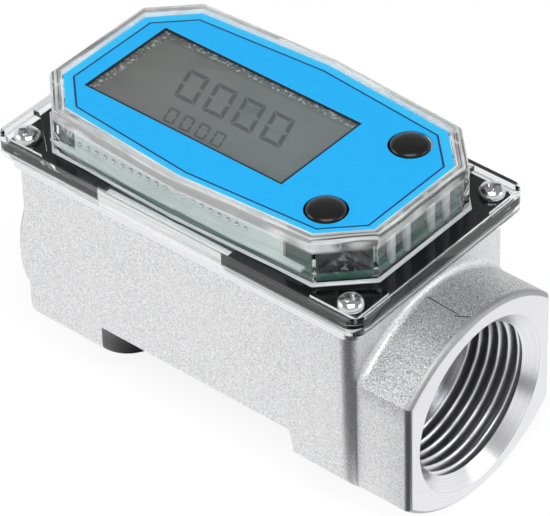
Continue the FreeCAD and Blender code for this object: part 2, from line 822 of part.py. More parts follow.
keep("cover_screws", screws(
    "CoverScrew", screw_spots, recess_floor, s.head_radius, s.head_height, s.screw_radius,
    recess_floor - rim_top + s.screw_reach, True))
keep("board_screws", screws(
    "BoardScrew", post_spots, board_bottom - s.small_head_height, s.small_head_radius,
    s.small_head_height, s.post_hole, s.board_thick + s.post_depth - s.screw_gap, False))


# ---------------------------------------------------------------- batteries and their holder

holder_x = zero
battery_z = pocket_floor + s.holder_floor + s.battery_radius + s.battery_gap
trough = s.battery_radius + s.battery_gap
holder_half_width = s.battery_pitch / 2 + trough + s.holder_rail
tray = block("HolderTray", (holder_x - holder_half_length, -holder_half_width, pocket_floor),
             (holder_x + holder_half_length, holder_half_width, pocket_floor + s.holder_height))
troughs = []
for side, across in (("near", -1), ("far", 1)):
    line = s.battery_pitch / 2 * across
    troughs.append(rod(side.title() + "Trough", "x", trough,
                       (holder_x - cell_room / 2, line, battery_z), cell_room))
    troughs.append(block(side.title() + "TroughMouth",
                         (holder_x - cell_room / 2, line - trough, battery_z),
                         (holder_x + cell_room / 2, line + trough,
                          pocket_floor + s.holder_height)))
    can_start = holder_x - cell_room / 2 + contact_room + s.battery_gap
    nub_side = 1 if across < 0 else 0
    can = rod(side.title() + "Can", "x", s.battery_radius,
              (can_start + s.nub_length * (1 - nub_side), line, battery_z), s.battery_length)
    nub_start = can_start + s.battery_length if nub_side else can_start
    nub = rod(side.title() + "Nub", "x", s.nub_radius, (nub_start, line, battery_z), s.nub_length)
    keep(side + "_battery", fuse(side.title() + "Battery", can, nub))

# each end of the holder has a slot that its contact plate drops into
plate_half_width = s.battery_pitch / 2 + s.nub_radius
plate_low = battery_z - s.contact_height / 2
plate_high = battery_z + s.contact_height / 2
slots = []
for side, along in (("left", -1), ("right", 1)):
    wall = holder_x + cell_room / 2 * along
    inner = wall - s.contact_thick * along
    low, high = (wall, inner) if along < 0 else (inner, wall)
    slots.append(block(side.title() + "Slot",
                       (low, -plate_half_width - s.fit_gap, plate_low - s.fit_gap),
                       (high, plate_half_width + s.fit_gap, pocket_floor + s.holder_height)))
    plate = block(side.title() + "Plate", (low, -plate_half_width, plate_low),
                  (high, plate_half_width, plate_high))
    bumps = []
    for across in (-1, 1):
        start = inner if along < 0 else inner - s.contact_bump
        bumps.append(rod("%sBump%d" % (side.title(), across + 1), "x", s.nub_radius,
                         (start, s.battery_pitch / 2 * across, battery_z), s.contact_bump))
    keep(side + "_battery_contact", fuse(side.title() + "Contact", plate, *bumps))
keep("battery_holder", cut("BatteryHolder", tray, *troughs, *slots))


# ---------------------------------------------------------------- pickup over the rotor

pickup_top = pocket_floor - s.flex_thick
pickup_low = pocket_floor - s.pickup_well
keep("pickup_sensor", rod("PickupSensor", "z", s.pickup_radius,
                          (s.rotor_place, zero, pickup_low), pickup_top - pickup_low))
flex_left = s.rotor_place - s.flex_width / 2
flex_right = s.rotor_place + s.flex_width / 2
flex_flat = block("FlexFlat", (flex_left, zero, pickup_top),
                  (flex_right, s.flex_place + s.flex_thick, pocket_floor))
flex_rise = block("FlexRise", (flex_left, s.flex_place, pocket_floor),
                  (flex_right, s.flex_place + s.flex_thick, board_bottom))
keep("pickup_flex", fuse("PickupFlex", flex_flat, flex_rise))


# ---------------------------------------------------------------- turbine in the bore

def turned(name, points, title):
    """A piece turned about the flow axis from its half outline."""
    body = new_body(name)
    section = new_sketch(body, "XZ_Plane", title, rise=s.axis_height)
    outline(section, points)
    turn(body, section, title + "Turned")
    return body


rotor_start = rotor_left + s.washer_thick + s.rotor_end_gap
rotor_end = rotor_right - s.washer_thick - s.rotor_end_gap
blade_length = rotor_end - rotor_start - s.blade_inset * 2
shaft_hole = s.shaft_radius + s.fit_gap / 2
rotor = turned("turbine_rotor", [
    (rotor_start, shaft_hole), (rotor_end, shaft_hole), (rotor_end, s.rotor_hub),
    (rotor_start, s.rotor_hub)], "RotorHub")

# one blade is lofted through three sections that turn about the axis, then repeated round it
blade_base = s.rotor_hub - s.fit_gap
blade_tip = s.rotor_bore - s.rotor_tip_gap
sections = []
for step in (0, 1, 2):
    section = new_sketch(rotor, "YZ_Plane", "Blade%d" % step,
                         lift=rotor_start + s.blade_inset + blade_length * step / 2,
                         rise=s.axis_height)
    section.AttachmentOffset = FreeCAD.Placement(
        section.AttachmentOffset.Base, FreeCAD.Rotation(FreeCAD.Vector(0, 0, 1), 1))
    bind(section, "AttachmentOffset.Rotation.Angle", s.blade_twist * (step + 1) / 2)
    outline(section, [
        (blade_base - 1, -s.blade_thick / 2), (blade_tip, -s.blade_thick / 2),
        (blade_tip, s.blade_thick / 2), (blade_base - 1, s.blade_thick / 2)])
    sections.append(section)
blade = rotor.newObject("PartDesign::AdditiveLoft", "Blade")
blade.Profile = sections[0]
blade.Sections = sections[1:]
blade.Ruled = True
doc.recompute()
blades = rotor.newObject("PartDesign::PolarPattern", "Blades")
blades.Originals = [blade]
blades.Axis = (rotor.Group[0], ["H_Axis"])
blades.Angle = 360.0
bind(blades, "Occurrences", s.blade_count)
rotor.Tip = blades
section = new_sketch(rotor, "YZ_Plane", "MagnetHoles", lift=rotor_end)
for across in (-1, 1):
    circle(section, zero, s.axis_height + s.magnet_ring * across, s.magnet_radius + s.fit_gap / 2)
pocket(rotor, section, "MagnetHoleCut", s.magnet_length)

keep("rotor_magnets", group("RotorMagnets", *[
    rod("Magnet%d" % (across + 1), "x", s.magnet_radius,
        (rotor_end - s.magnet_length, zero, s.axis_height + s.magnet_ring * across),
        s.magnet_length) for across in (-1, 1)]))

shaft_end = s.bush_length - s.rotor_end_gap
keep("rotor_shaft", rod(
    "RotorShaft", "x", s.shaft_radius, (rotor_left - shaft_end, zero, s.axis_height),
    rotor_right - rotor_left + shaft_end * 2))

left_seat = left_end + s.thread_depth + s.ring_inset + s.ring_width
right_seat = right_end - s.thread_depth - s.ring_inset - s.ring_width


def support(name, face, far, nose):
    """Hub with a pointed end on vanes that reach the bore; the bush sits in its flat face."""
    way = 1 if far.number > face.number else -1
    bush_hole = s.bush_radius + s.fit_gap / 2
    bottom = face + s.bush_length * way
    tip = far + s.ring_width * way
    shoulder = tip - nose * way
    points = [(face, bush_hole), (face, s.support_hub), (shoulder, s.support_hub), (tip, zero),
              (bottom, zero), (bottom, bush_hole)]
    if way > 0:
        points.reverse()
    body = turned(name, points, name.title().replace("_", "") + "Hub")
    section = new_sketch(body, "YZ_Plane", name.title().replace("_", "") + "Vane", lift=face,
                         rise=s.axis_height)
    rectangle(section, (s.support_hub + s.seat_radius) / 2 - s.fit_gap, zero,
              (s.seat_radius - s.support_hub) / 2, s.support_vane / 2)
    vane = pad(body, section, name.title().replace("_", "") + "VanePad",
               (far - face) * way, reverse=way < 0)
    doc.recompute()
    vanes = body.newObject("PartDesign::PolarPattern", name.title().replace("_", "") + "Vanes")
    vanes.Originals = [vane]
    vanes.Axis = (body.Group[0], ["H_Axis"])
    vanes.Angle = 360.0
    bind(vanes, "Occurrences", s.support_count)
    body.Tip = vanes


support("inlet_support", rotor_left, left_seat, s.nose_length)
support("outlet_support", rotor_right, right_seat, s.nose_length / 2)

for side, face, way in (("inlet", rotor_left, -1), ("outlet", rotor_right, 1)):
    far = face + (s.bush_length - s.fit_gap) * way
    low, high = (far, face) if way < 0 else (face, far)
    bush_bore = s.shaft_radius + s.shaft_gap
    turned(side + "_bush", [
        (low, bush_bore), (high, bush_bore), (high, s.bush_radius), (low, s.bush_radius)],
        side.title() + "Bush")
    edge = face - s.washer_thick * way
    low, high = (face, edge) if way < 0 else (edge, face)
    turned(side + "_thrust_washer", [
        (low, bush_bore), (high, bush_bore), (high, s.washer_radius), (low, s.washer_radius)],
        side.title() + "Washer")

for side, start in (("inlet", left_seat - s.ring_width), ("outlet", right_seat)):
    outer = s.seat_radius + s.ring_depth - s.fit_gap
    ring = rod(side.title() + "RingOuter", "x", outer, (start, zero, s.axis_height), s.ring_width)
    hole = rod(side.title() + "RingInner", "x", s.seat_radius + s.ring_depth - s.ring_height,
               (start, zero, s.axis_height), s.ring_width)
    mouth = block(side.title() + "RingMouth",
                  (start, -s.ring_gap / 2, s.axis_height - outer),
                  (start + s.ring_width, s.ring_gap / 2, s.axis_height))
    keep(side + "_snap_ring", cut(side.title() + "SnapRing", ring, hole, mouth))


# ---------------------------------------------------------------- checks and files

doc.recompute()
for item in doc.Objects:
    if {"Invalid", "Error"} & set(item.State):
        raise RuntimeError("%s failed: %s" % (item.Label, item.State))
os.makedirs("parts", exist_ok=True)
for name, item in nodes.items():
    shape = item.Shape
    if shape.isNull() or not shape.isValid() or not shape.Solids:
        raise RuntimeError(name + " has no valid solid")
for name, item in nodes.items():
    item.Shape.exportStep("parts/%s.step" % name)
print(len(nodes), "nodes")
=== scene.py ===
"""Looks of the turbine flow meter: materials, threads, screws, buttons, print and light."""
import json
import math

import bmesh
import bpy
from mathutils import Matrix, Vector

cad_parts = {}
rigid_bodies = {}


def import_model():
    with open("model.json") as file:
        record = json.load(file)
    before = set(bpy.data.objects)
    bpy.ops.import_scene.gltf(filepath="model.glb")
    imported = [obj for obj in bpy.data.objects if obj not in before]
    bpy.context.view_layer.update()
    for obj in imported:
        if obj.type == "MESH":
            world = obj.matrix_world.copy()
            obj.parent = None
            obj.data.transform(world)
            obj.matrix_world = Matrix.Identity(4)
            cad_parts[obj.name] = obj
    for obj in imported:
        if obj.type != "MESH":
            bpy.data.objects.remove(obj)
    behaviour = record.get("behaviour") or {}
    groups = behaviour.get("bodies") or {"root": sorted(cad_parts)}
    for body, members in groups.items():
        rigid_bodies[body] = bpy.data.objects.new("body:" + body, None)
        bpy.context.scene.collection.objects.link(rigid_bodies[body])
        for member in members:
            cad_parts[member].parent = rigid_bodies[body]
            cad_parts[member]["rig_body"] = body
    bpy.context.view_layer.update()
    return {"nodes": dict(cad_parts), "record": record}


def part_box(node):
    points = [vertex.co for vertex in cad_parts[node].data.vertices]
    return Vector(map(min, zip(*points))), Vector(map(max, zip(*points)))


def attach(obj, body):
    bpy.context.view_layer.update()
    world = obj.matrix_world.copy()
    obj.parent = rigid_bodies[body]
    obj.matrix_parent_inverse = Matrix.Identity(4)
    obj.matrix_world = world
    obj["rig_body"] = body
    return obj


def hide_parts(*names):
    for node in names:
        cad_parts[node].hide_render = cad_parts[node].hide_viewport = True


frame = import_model()
NODES = frame["nodes"]
MM = 0.001

# ---------------------------------------------------------------- places, in mm, row frame

AXIS_Z = 20.5
END_X = 47.65
MIDDLE_X = -3.85
COVER_HALF = (42.9, 24.05)
FLANGE_TOP = 50.9
RECESS_FLOOR = 49.7
BOARD_TOP = 52.1
SIDE_FRAME_Y = 18.5
GLASS_TOP = 57.55
WINDOW_X = -11.85
WINDOW_HALF = (23.05, 10.85)
BUTTONS = {"display_button": (22.15, 11.7), "setting_button": (22.15, -11.7)}
NOTCH_X = -6.45
NOTCH_HALF = 14.75
RIM_BOTTOM = 44.0
SEAT_BOTTOM = 46.7
MOUTH_RADIUS = 17.7
SCREWS = [(-41.95, -19.9), (-41.95, 19.9), (34.25, -19.9), (34.25, 19.9)]


# ---------------------------------------------------------------- nodes

class Tree:
    """A material's node tree, with short ways to add nodes to it."""

    def __init__(self, name):
        self.material = bpy.data.materials.new(name)
        self.material.use_nodes = True
        self.tree = self.material.node_tree
        self.shader = self.tree.nodes["Principled BSDF"]
        self.output = self.tree.nodes["Material Output"]
        self.place = self.node("ShaderNodeTexCoord").outputs["Object"]

    def node(self, kind, **settings):
        made = self.tree.nodes.new(kind)
        for key, value in settings.items():
            setattr(made, key, value)
        return made

    def link(self, source, socket):
        self.tree.links.new(source, socket)

    def feed(self, socket, value):
        if isinstance(value, bpy.types.NodeSocket):
            self.link(value, socket)
        else:
            socket.default_value = value

    def math(self, operation, *values):
        made = self.node("ShaderNodeMath", operation=operation)
        for socket, value in zip(made.inputs, values):
            self.feed(socket, value)
        return made.outputs[0]

    def noise(self, scale, detail=2.0, rough=0.5, stretch=None):
        made = self.node("ShaderNodeTexNoise")
        made.inputs["Scale"].default_value = scale
        made.inputs["Detail"].default_value = detail
        made.inputs["Roughness"].default_value = rough
        place = self.place
        if stretch:
            mapping = self.node("ShaderNodeMapping")
            mapping.inputs["Scale"].default_value = stretch
            self.link(place, mapping.inputs["Vector"])
            place = mapping.outputs[0]
        self.link(place, made.inputs["Vector"])
        return made.outputs["Fac"]

    def remap(self, value, low, high, to_low, to_high):
        made = self.node("ShaderNodeMapRange", clamp=True)
        for key, number in (("From Min", low), ("From Max", high),
                            ("To Min", to_low), ("To Max", to_high)):
            made.inputs[key].default_value = number
        self.link(value, made.inputs["Value"])
        return made.outputs[0]

    def mix(self, factor, first, second):
        made = self.node("ShaderNodeMix", data_type="RGBA")
        self.feed(made.inputs[0], factor)
        for socket, value in ((made.inputs[6], first), (made.inputs[7], second)):
            self.feed(socket, rgb(value) if isinstance(value, (tuple, float)) else value)
        return made.outputs[2]

    def axes(self):
        made = self.node("ShaderNodeSeparateXYZ")
        self.link(self.place, made.inputs[0])
        return made.outputs

    def bump(self, height, distance, strength=1.0):
        made = self.node("ShaderNodeBump")
        made.inputs["Distance"].default_value = distance
        made.inputs["Strength"].default_value = strength
        self.link(height, made.inputs["Height"])
        return made.outputs[0]

    def set(self, **sockets):
        for key, value in sockets.items():
            socket = self.shader.inputs[SOCKETS.get(key, key)]
            if isinstance(value, (tuple, float)) and socket.type == "RGBA":
                value = rgb(value)
            self.feed(socket, value)


SOCKETS = {"colour": "Base Color", "rough": "Roughness", "metallic": "Metallic", "ior": "IOR",
           "clear": "Transmission Weight", "coat": "Coat Weight", "coat_rough": "Coat Roughness",
           "normal": "Normal", "specular": "Specular IOR Level"}


def rgb(value):
    """A colour socket's four numbers from one or three sRGB values of 0 to 255."""
    if isinstance(value, float):
        value = (value, value, value)
    return tuple(linear(v / 255) for v in value) + (1.0,)


def linear(v):
    return v / 12.92 if v <= 0.04045 else ((v + 0.055) / 1.055) ** 2.4


def surface(name, colour, rough, speck=0.06, speck_size=0.5, blotch=0.05, blotch_size=12.0,
            dent=0.004, dent_size=0.5, rough_spread=0.06, stretch=None, **sockets):
    """A finish with fine specks, broad unevenness of colour and gloss, and a fine bump. Sizes are in mm."""
    t = Tree(name)
    fine = t.noise(1000 / speck_size, 3.0, 0.6, stretch)
    broad = t.noise(1000 / blotch_size, 3.0, 0.55)
    dark = tuple(c * (1 - speck) for c in colour)
    light = tuple(min(c * (1 + speck), 255) for c in colour)
    first = t.mix(t.remap(fine, 0.3, 0.7, 0.0, 1.0), dark, light)
    deep = tuple(c * (1 - blotch) for c in colour)
    pale = tuple(min(c * (1 + blotch), 255) for c in colour)
    second = t.mix(t.remap(broad, 0.3, 0.7, 0.0, 1.0), deep, pale)
    t.set(colour=t.mix(0.5, first, second),
          rough=t.remap(broad, 0.3, 0.7, rough - rough_spread, rough + rough_spread),
          normal=t.bump(t.noise(1000 / dent_size, 2.0, 0.5, stretch), dent * MM), **sockets)
    return t


# ---------------------------------------------------------------- finishes

def cast_metal():
    """Bead-blasted cast aluminium, with machined ends, bores and a smooth rim band, and painted shade in the
    thread roots and round each port boss next to its end face.
    """
    t = Tree("cast_aluminium_finish")
    x, y, z = t.axes()
    radius = t.math("SQRT", t.math("ADD", t.math("MULTIPLY", y, y),
                                   t.math("POWER", t.math("SUBTRACT", z, AXIS_Z * MM), 2.0)))
    far = t.math("ABSOLUTE", x)
    end = t.remap(far, (END_X - 0.12) * MM, (END_X - 0.04) * MM, 0.0, 1.0)
    rim = t.remap(z, RIM_BOTTOM * MM, (RIM_BOTTOM + 0.2) * MM, 0.0, 1.0)
    seat = t.remap(z, SEAT_BOTTOM * MM, (SEAT_BOTTOM + 0.08) * MM, 0.0, 1.0)
    bore = t.remap(radius, (MOUTH_RADIUS - 0.05) * MM, (MOUTH_RADIUS + 0.05) * MM, 1.0, 0.0)
    smooth = t.math("MAXIMUM", t.math("MAXIMUM", end, rim), bore)
    from_middle = t.math("ABSOLUTE", t.math("SUBTRACT", x, MIDDLE_X * MM))
    port_top = t.math("MULTIPLY", t.remap(from_middle, 40.0 * MM, 41.0 * MM, 0.0, 1.0),
                      t.remap(z, (AXIS_Z + 8.0) * MM, (AXIS_Z + 13.0) * MM, 0.0, 1.0))
    blast = t.noise(4200.0, 2.0, 0.7)
    pits = t.noise(2100.0, 2.0, 0.6)
    cloud = t.noise(60.0, 3.0, 0.55)
    grain = t.mix(t.remap(blast, 0.32, 0.68, 0.0, 1.0), (176, 176, 178), (254, 254, 255))
    grain = t.mix(t.remap(cloud, 0.3, 0.7, 0.0, 0.35), grain, (226, 226, 227))
    rings = t.node("ShaderNodeTexNoise", noise_dimensions="1D")
    rings.inputs["Scale"].default_value = 5200.0
    rings.inputs["Detail"].default_value = 3.0
    t.link(radius, rings.inputs["W"])
    plain = t.mix(t.remap(rings.outputs["Fac"], 0.3, 0.7, 0.0, 1.0), (222, 222, 225), (238, 238, 240))
    # painted shade: the thread roots deep in the bore are painted darker, standing in for the shade inside
    # the hole
    root = t.math("MULTIPLY", t.remap(far, (END_X - 2.9) * MM, (END_X - 2.4) * MM, 1.0, 0.0),
                  t.math("MULTIPLY", bore, t.remap(radius, 15.3 * MM, 16.2 * MM, 0.0, 1.0)))
    plain = t.mix(root, plain, (192, 192, 196))
    plain = t.mix(seat, plain, (253, 253, 254))
    coarse = t.mix(t.remap(blast, 0.36, 0.64, 0.0, 1.0), (104, 104, 107), (240, 240, 241))
    grain = t.mix(t.math("MULTIPLY", port_top, 0.75), grain, coarse)
    # painted shade: a grey band round each port boss next to its end face, standing in for the dark
    # reflection in the rounded edge
    edge = t.math("MULTIPLY", t.remap(far, 46.3 * MM, 46.7 * MM, 0.0, 1.0),
                  t.remap(radius, (MOUTH_RADIUS + 0.1) * MM, (MOUTH_RADIUS + 0.3) * MM, 0.0, 1.0))
    grain = t.mix(t.math("MULTIPLY", edge, 0.8), grain, (160, 160, 163))
    relief = t.math("ADD", t.math("MULTIPLY", blast, 0.6), t.math("MULTIPLY", pits, 0.5))
    t.set(colour=t.mix(smooth, grain, plain), metallic=t.remap(seat, 0.0, 1.0, 1.0, 0.15),
          rough=t.math("ADD", t.remap(smooth, 0.0, 1.0, 0.4, 0.26), t.math("MULTIPLY", port_top, 0.1)),
          normal=t.bump(t.mix(smooth, relief, 0.5), 0.07 * MM, 0.9))
    return t


def clear_plastic():
    """Clear polycarbonate, satin on the flange's side and the top rim, where the mould was textured."""
    t = Tree("clear_plastic_finish")
    x, y, z = t.axes()
    across = t.math("ABSOLUTE", t.math("SUBTRACT", x, MIDDLE_X * MM))
    up = t.math("ABSOLUTE", y)
    reach = t.math("MAXIMUM", t.math("SUBTRACT", across, COVER_HALF[0] * MM),
                   t.math("SUBTRACT", up, COVER_HALF[1] * MM))
    from_notch = t.math("ABSOLUTE", t.math("SUBTRACT", x, NOTCH_X * MM))
    bare = t.remap(from_notch, (NOTCH_HALF - 0.2) * MM, NOTCH_HALF * MM, 1.0, 0.0)
    low = t.math("MAXIMUM", t.remap(z, 47.9 * MM, 48.4 * MM, 1.0, 0.05),
                 t.math("MULTIPLY", bare, t.remap(z, 50.4 * MM, 50.8 * MM, 1.0, 0.5)))
    flange_side = t.math("MULTIPLY", t.remap(reach, -0.45 * MM, -0.2 * MM, 0.0, 1.0), low)
    long_side = t.remap(up, (COVER_HALF[1] - 0.5) * MM, (COVER_HALF[1] - 0.3) * MM, 0.3, 1.0)
    lines = t.noise(1.0, 2.0, 0.5, (30.0, 30.0, 2600.0))
    label_reach = cornered_reach(t, across, up, [(36.6, 0.0), (36.6, 11.3), (29.05, 18.9), (0.0, 21.0)])
    rim = t.math("MULTIPLY", t.remap(label_reach, 0.0, 0.12 * MM, 0.0, 1.0),
                 t.remap(z, 57.7 * MM, 58.4 * MM, 0.0, 1.0))
    threads = t.node("ShaderNodeTexNoise", noise_dimensions="1D")
    threads.inputs["Scale"].default_value = 2400.0
    threads.inputs["Detail"].default_value = 2.0
    waver = t.math("MULTIPLY", t.noise(70.0, 1.0, 0.5), 0.9 * MM)
    t.link(t.math("ADD", label_reach, waver), threads.inputs["W"])
    bands = t.math("MULTIPLY", t.remap(threads.outputs["Fac"], 0.38, 0.54, 0.08, 0.85),
                   t.remap(t.noise(110.0, 2.0, 0.6), 0.35, 0.6, 0.6, 1.0))
    bands = t.math("MAXIMUM", bands, t.remap(up, 17.0 * MM, 21.5 * MM, 0.0, 0.45))
    notch_lines = t.math("MULTIPLY", bare, t.remap(lines, 0.3, 0.6, 0.55, 0.95))
    side_lines = t.math("MULTIPLY", long_side,
                        t.math("MAXIMUM", t.remap(lines, 0.35, 0.65, 0.35, 0.95), notch_lines))
    satin = t.math("MAXIMUM", t.math("MULTIPLY", flange_side, side_lines), t.math("MULTIPLY", rim, bands))
    wave = t.noise(140.0, 2.0, 0.5)
    t.set(colour=t.mix(t.remap(wave, 0.3, 0.7, 0.0, 1.0), (244, 248, 248), (251, 253, 252)),
          rough=t.remap(satin, 0.0, 1.0, 0.012, 0.34), ior=1.5, specular=0.35,
          clear=t.remap(satin, 0.0, 1.0, 1.0, 0.1),
          normal=t.bump(wave, 0.02 * MM, 0.4))
    light = t.node("ShaderNodeLightPath")
    through = t.node("ShaderNodeBsdfTransparent")
    through.inputs[0].default_value = rgb((248, 251, 250))
    both = t.node("ShaderNodeMixShader")
    t.link(light.outputs["Is Shadow Ray"], both.inputs[0])
    t.link(t.shader.outputs[0], both.inputs[1])
    t.link(through.outputs[0], both.inputs[2])
    t.link(both.outputs[0], t.output.inputs["Surface"])
    return t


def cornered_reach(t, across, up, corners):
    """How far a point lies outside a cut-cornered outline; corners run round one quarter of it."""
    reach = None
    for (ax, ay), (bx, by) in zip(corners, corners[1:]):
        run = math.hypot(bx - ax, by - ay)
        nx, ny = (by - ay) / run, (ax - bx) / run
        side = t.math("SUBTRACT", t.math("ADD", t.math("MULTIPLY", across, nx), t.math("MULTIPLY", up, ny)),
                      (nx * ax + ny * ay) * MM)
        reach = side if reach is None else t.math("MAXIMUM", reach, side)
    return reach


def label_print():
    """Blue film with a navy line, a slightly paler border outside the line and a dark window frame."""
    t = Tree("label_print")
    x, y, z = t.axes()
    across = t.math("ABSOLUTE", t.math("SUBTRACT", x, MIDDLE_X * MM))
    up = t.math("ABSOLUTE", y)
    reach = cornered_reach(t, across, up, [(34.6, 0.0), (34.6, 10.5), (28.1, 16.9), (0.0, 19.05)])
    line = t.remap(t.math("ABSOLUTE", reach), 0.16 * MM, 0.22 * MM, 1.0, 0.0)
    outside = t.remap(reach, 0.0, 0.02 * MM, 0.0, 1.0)
    wx = t.math("SUBTRACT", t.math("ABSOLUTE", t.math("SUBTRACT", x, WINDOW_X * MM)), WINDOW_HALF[0] * MM)
    wy = t.math("SUBTRACT", up, WINDOW_HALF[1] * MM)
    frame_line = t.remap(t.math("MAXIMUM", wx, wy), 0.32 * MM, 0.38 * MM, 1.0, 0.0)
    mottle = t.remap(t.noise(1800.0, 3.0, 0.6), 0.3, 0.7, 0.0, 1.0)
    blue = t.mix(mottle, (16, 178, 252), (24, 188, 255))
    border = t.mix(mottle, (42, 190, 250), (52, 200, 255))
    shown = t.mix(outside, blue, border)
    shown = t.mix(line, shown, (22, 52, 110))
    shown = t.mix(frame_line, shown, (14, 20, 34))
    t.set(colour=shown, rough=t.remap(mottle, 0.0, 1.0, 0.38, 0.46), specular=0.4,
          normal=t.bump(t.noise(2400.0, 2.0, 0.5), 0.006 * MM, 0.5))
    return t


def display_glass():
    """Grey liquid-crystal glass with painted light: lighter and bluer to one end, and painted glints in its
    left and far edges.
    """
    t = Tree("display_glass_finish")
    x, y, z = t.axes()
    # painted light: the glass is painted lighter and bluer towards one end, as light falls across it
    along = t.remap(x, -35.0 * MM, 12.0 * MM, 0.0, 1.0)
    cloud = t.remap(t.noise(70.0, 3.0, 0.5), 0.3, 0.7, 0.0, 1.0)
    grey = t.mix(along, t.mix(cloud, (103, 102, 100), (109, 107, 105)),
                 t.mix(cloud, (109, 115, 118), (116, 123, 126)))
    # painted highlight: white glints painted along the glass's left and far edges
    left = t.remap(x, -34.6 * MM, -33.7 * MM, 1.0, 0.0)
    far = t.remap(y, 10.2 * MM, 10.6 * MM, 0.0, 1.0)
    flecks = t.remap(t.noise(1500.0, 3.0, 0.7), 0.52, 0.62, 0.0, 1.0)
    painted_glint_mask = t.math("MULTIPLY", t.math("MAXIMUM", left, far), flecks)
    t.set(colour=t.mix(t.math("MULTIPLY", painted_glint_mask, 0.85), grey, (226, 228, 230)),
          rough=t.remap(cloud, 0.0, 1.0, 0.26, 0.34), specular=0.15,
          normal=t.bump(t.noise(1400.0), 0.002 * MM))
    return t


FINISHES = {
    "cast_aluminium": cast_metal,
    "clear_plastic": clear_plastic,
    "label_film": label_print,
    "seal_rubber": lambda: surface("seal_rubber_finish", (26, 26, 28), 0.5, speck=0.2, dent=0.01),
    "lcd_glass": display_glass,
    "black_plastic": lambda: surface("black_plastic_finish", (12, 13, 14), 0.42, speck=0.15),
    "pale_plastic": lambda: surface("pale_plastic_finish", (196, 204, 202), 0.5, speck=0.05),
    "strip_rubber": lambda: surface("strip_rubber_finish", (170, 172, 176), 0.6, speck=0.1,
                                    stretch=(0.1, 1, 1)),
    "board_laminate": lambda: surface("board_laminate_finish", (58, 96, 84), 0.38, speck=0.16, speck_size=0.8,
                                      blotch=0.1, coat=0.4, coat_rough=0.15),
    "bright_steel": lambda: surface("bright_steel_finish", (214, 214, 216), 0.16, speck=0.03, metallic=1.0,
                                    dent=0.002, rough_spread=0.04),
    "button_rubber": lambda: surface("button_rubber_finish", (21, 20, 21), 0.28, speck=0.2, specular=0.25,
                                     coat=0.25, coat_rough=0.1, dent=0.002),
    "battery_steel": lambda: surface("battery_steel_finish", (196, 198, 202), 0.3, speck=0.05, metallic=1.0,
                                     stretch=(0.1, 1, 1)),
    "flex_film": lambda: surface("flex_film_finish", (196, 122, 44), 0.34, speck=0.08),
    "rotor_plastic": lambda: surface("rotor_plastic_finish", (52, 54, 58), 0.42, speck=0.1),
    "support_plastic": lambda: surface("support_plastic_finish", (30, 31, 34), 0.5, speck=0.1),
    "bush_brass": lambda: surface("bush_brass_finish", (206, 170, 96), 0.28, speck=0.05, metallic=1.0),
    "spring_steel": lambda: surface("spring_steel_finish", (176, 178, 182), 0.28, speck=0.05, metallic=1.0,
                                    stretch=(1, 0.1, 0.1)),
}
made_finishes = {}


def finish(slot):
    if slot not in made_finishes:
        made_finishes[slot] = FINISHES[slot]().material
    return made_finishes[slot]


for part in frame["record"]["subparts"]:
    data = NODES[part["node"]].data
    data.materials.clear()
    data.materials.append(finish(part["material_slot"]))


# ---------------------------------------------------------------- pieces

def piece(name, mesh, body, slot, material=None, stands_for=(), sharp=35.0):
    """Closes a mesh built in mm into a named piece that rides on a body."""
    bmesh.ops.scale(mesh, vec=(MM, MM, MM), verts=mesh.verts)
    bmesh.ops.recalc_face_normals(mesh, faces=mesh.faces)
    data = bpy.data.meshes.new(name)
    mesh.to_mesh(data)
    mesh.free()
    return dress(name, data, body, slot, material, stands_for, sharp)


def dress(name, data, body, slot, material=None, stands_for=(), sharp=35.0):
    for polygon in data.polygons:
        polygon.use_smooth = True
    data.set_sharp_from_angle(angle=math.radians(sharp))
    thing = bpy.data.objects.new(name, data)
    bpy.context.scene.collection.objects.link(thing)
    data.materials.clear()
    data.materials.append(material or finish(slot))
    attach(thing, body)
    if stands_for:
        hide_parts(*stands_for)
    return thing


def revolve(mesh, profile, steps, place):
    """Turns a profile of (radius, height) round an axis; place(radius, angle, height) gives each point."""
    rings = []
    for radius, height in profile:
        if radius < 1e-6:
            rings.append([mesh.verts.new(place(0.0, 0.0, height))])
        else:
            rings.append([mesh.verts.new(place(radius, 2 * math.pi * k / steps, height))
                          for k in range(steps)])
    for first, second in zip(rings, rings[1:]):
        for k in range(steps):
            corners = [first[k % len(first)], first[(k + 1) % len(first)],
                       second[(k + 1) % len(second)], second[k % len(second)]]
            unique = list(dict.fromkeys(corners))
            if len(unique) > 2:
                mesh.faces.new(unique)


def upright_at(x, y):
    return lambda radius, angle, height: (x + radius * math.cos(angle), y + radius * math.sin(angle), height)


def along_flow(side):
    """Places round the bore's axis; height is the depth in from that side's end face."""
    return lambda radius, angle, height: (side * (END_X - height), radius * math.sin(angle),
                                          AXIS_Z + radius * math.cos(angle))


def slab(mesh, corners, low, high):
    """A flat plate with the given outline, from low to high."""
    bottom = [mesh.verts.new((x, y, low)) for x, y in corners]
    top = [mesh.verts.new((x, y, high)) for x, y in corners]
    mesh.faces.new(bottom[::-1])
    mesh.faces.new(top)
    for k in range(len(corners)):
        n = (k + 1) % len(corners)
        mesh.faces.new((bottom[k], bottom[n], top[n], top[k]))


